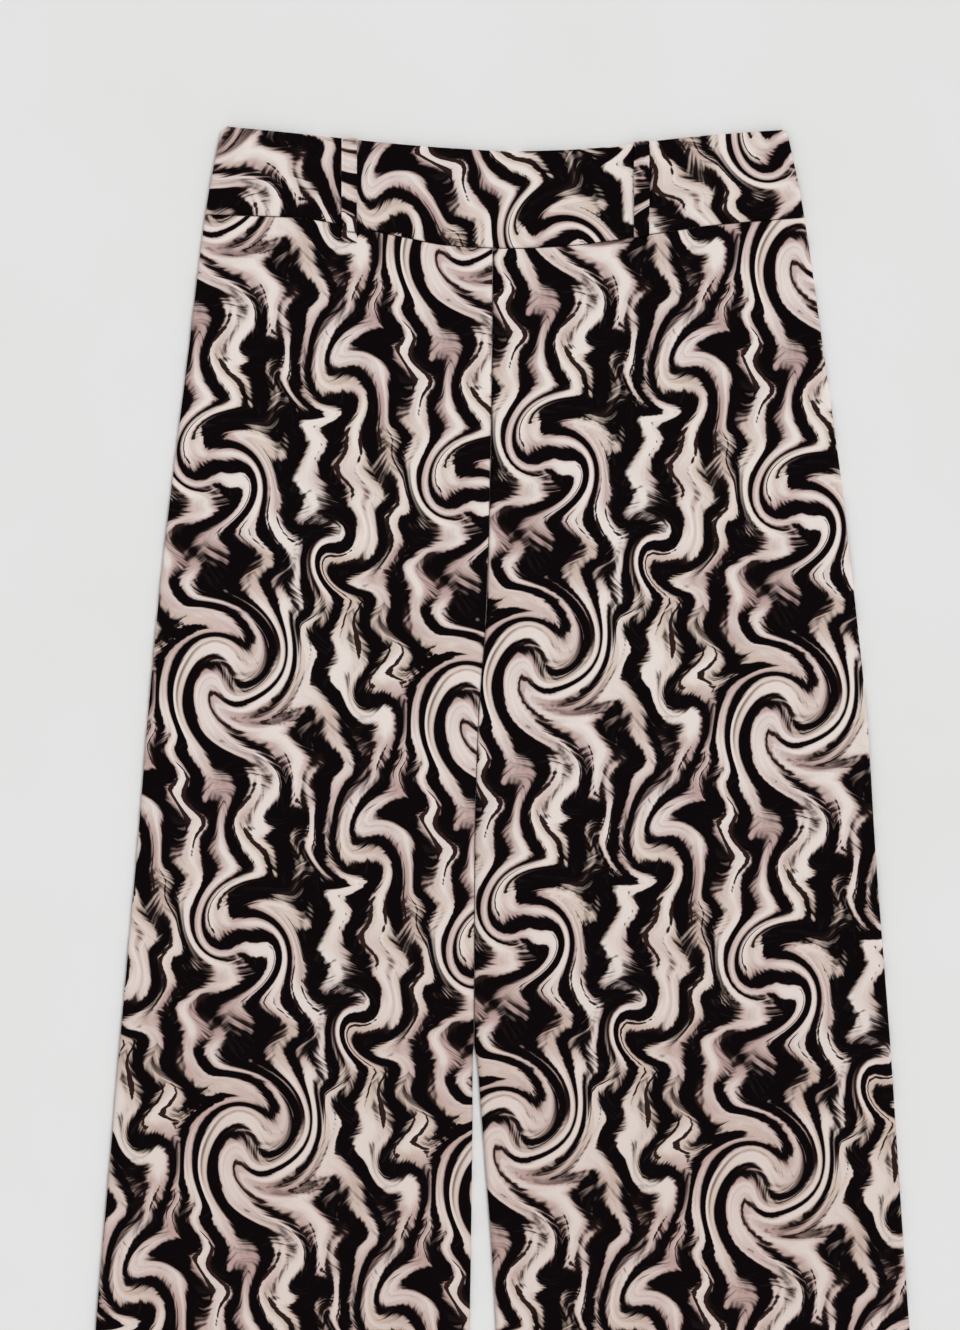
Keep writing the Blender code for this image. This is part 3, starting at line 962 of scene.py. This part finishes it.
# A bar tack: threads across the loop, side by side
tack = {
    "threads": 15,
    "width": 0.0074,
    "depth": 0.0016,
    "thickness": 0.00034,
    "slant": 0.0003,
    "sides": 8,
    "rings": 7,
}
tacks = {
    "belt_loop_right": (0.030, 0.905),   # where each lies along its loop
    "belt_loop_left": (0.030,),
}
threadLook = {
    "dark": colour(16, 13, 14),
    "light": colour(44, 38, 40),
    "twists": 900.0,          # per metre
    "uneven": 0.4,
    "strength": 0.4,
    "depth": 0.0001,
    "roughness": 0.6,
}


def threadPaint():
    paint = Paint("blackThread")
    spot = paint.node("ShaderNodeTexCoord", None, None, 3)
    twist = paint.node("ShaderNodeTexWave", {"wave_type": "BANDS", "bands_direction": "DIAGONAL"},
                       {"Vector": spot, "Scale": threadLook["twists"],
                        "Distortion": threadLook["uneven"]})
    strand = twist.output(1)
    normal = paint.node("ShaderNodeBump", None, {"Strength": threadLook["strength"],
                                                 "Distance": threadLook["depth"],
                                                 "Height": strand})
    return paint.finish({"Base Color": paint.mixed(strand, threadLook["dark"], threadLook["light"]),
                         "Roughness": threadLook["roughness"], "Normal": normal})


def makeTack(name, loop, shares, material):
    maker = bmesh.new()
    for place in shares:
        for n in range(tack["threads"]):
            made = bmesh.ops.create_uvsphere(maker, u_segments=tack["sides"],
                                             v_segments=tack["rings"], radius=0.5)["verts"]
            across = (n / (tack["threads"] - 1) - 0.5) * tack["width"]
            _, length = loopPlace(loop, 0.0, place, 0.0)
            for vert in made:
                lean = tack["slant"] * (1 if n % 2 else -1) * vert.co.y
                side = across + vert.co.x * tack["thickness"] + lean
                share = place - vert.co.y * tack["depth"] / length
                up = loopSize["cloth"] + vert.co.z * tack["thickness"]
                vert.co, _ = loopPlace(loop, side, share, up)
    for face in maker.faces:
        face.smooth = True
    maker.normal_update()
    return finishPiece(f"{name}_tacks", name, maker, (material,))


blackThread = threadPaint()
for name, loop in loops.items():
    strip, length = makeLoop(name, loop)
    tacked = makeTack(name, loop, tacks[name], blackThread)
    side = name.split("_")[-1]
    # laid flat, its rounded edges make it a little wider
    print(name, "laid", round(length, 4))

# A pale floor, soft light, and the camera straight above as in the photo
view = {
    "metresPerPixel": 0.00065,
    "frame": (960, 1330),
    "middle": (480, 665),        # the photo's middle pixel
    "boxMiddle": (502.75, 127),  # the pixel of x 0 and drop 0
    "lens": 100.0,
}
light = {
    "sky": 0.635,
    "window": 1.31,
    "windowWidth": 25,           # degrees across
    "windowTurn": (-22, 26, 0),
}
floorLook = {
    "reach": 60.0,            # metres from its middle to an edge
    "squares": 8,
    "pale": colour(230, 230, 230),
    "shade": colour(228, 228, 227),
    "clouds": 6.0,
    "cloudDetail": 3.0,
    "cloudReach": (0.3, 0.7),
    "roughness": 0.9,
    "gloss": 0.1,
}


def makeStage():
    maker = bmesh.new()
    squares = floorLook["squares"]
    bmesh.ops.create_grid(maker, x_segments=squares, y_segments=squares, size=floorLook["reach"])
    mesh = bpy.data.meshes.new("floor")
    maker.to_mesh(mesh)
    maker.free()
    paint = Paint("floorPaint")
    spot = paint.node("ShaderNodeTexCoord", None, None, 3)
    cloud = paint.node("ShaderNodeTexNoise", None, {"Vector": spot, "Scale": floorLook["clouds"],
                                                    "Detail": floorLook["cloudDetail"]})
    clouded = cloud.clip(*floorLook["cloudReach"])
    tone = paint.mixed(clouded, floorLook["pale"], floorLook["shade"])
    mesh.materials.append(paint.finish({"Base Color": tone, "Roughness": floorLook["roughness"],
                                        "Specular IOR Level": floorLook["gloss"]}))
    floor = bpy.data.objects.new("floor", mesh)
    bpy.context.scene.collection.objects.link(floor)


def makeLight():
    world = bpy.data.worlds.new("studio")
    bpy.context.scene.world = world
    world.use_nodes = True
    sky = world.node_tree.nodes["Background"]
    sky.inputs[0].default_value = (1.0, 1.0, 1.0, 1.0)
    sky.inputs[1].default_value = light["sky"]
    window = bpy.data.lights.new("window", "SUN")
    window.energy = light["window"]
    window.angle = math.radians(light["windowWidth"])
    lamp = bpy.data.objects.new("window", window)
    lamp.rotation_euler = [math.radians(turn) for turn in light["windowTurn"]]
    bpy.context.scene.collection.objects.link(lamp)


def makeCamera():
    camera = bpy.data.cameras.new("camera")
    camera.lens = view["lens"]
    frameHeight = view["frame"][1] * view["metresPerPixel"]
    distance = frameHeight / 2 / (camera.sensor_width / 2 / camera.lens)
    eye = bpy.data.objects.new("camera", camera)
    x = (view["middle"][0] - view["boxMiddle"][0]) * view["metresPerPixel"]
    drop = (view["middle"][1] - view["boxMiddle"][1]) * view["metresPerPixel"]
    eye.location = (x, yAt(drop), distance)
    bpy.context.scene.collection.objects.link(eye)
    bpy.context.scene.camera = eye


makeStage()
makeLight()
makeCamera()
bpy.context.scene.view_settings.view_transform = "Standard"
print("stage ready")
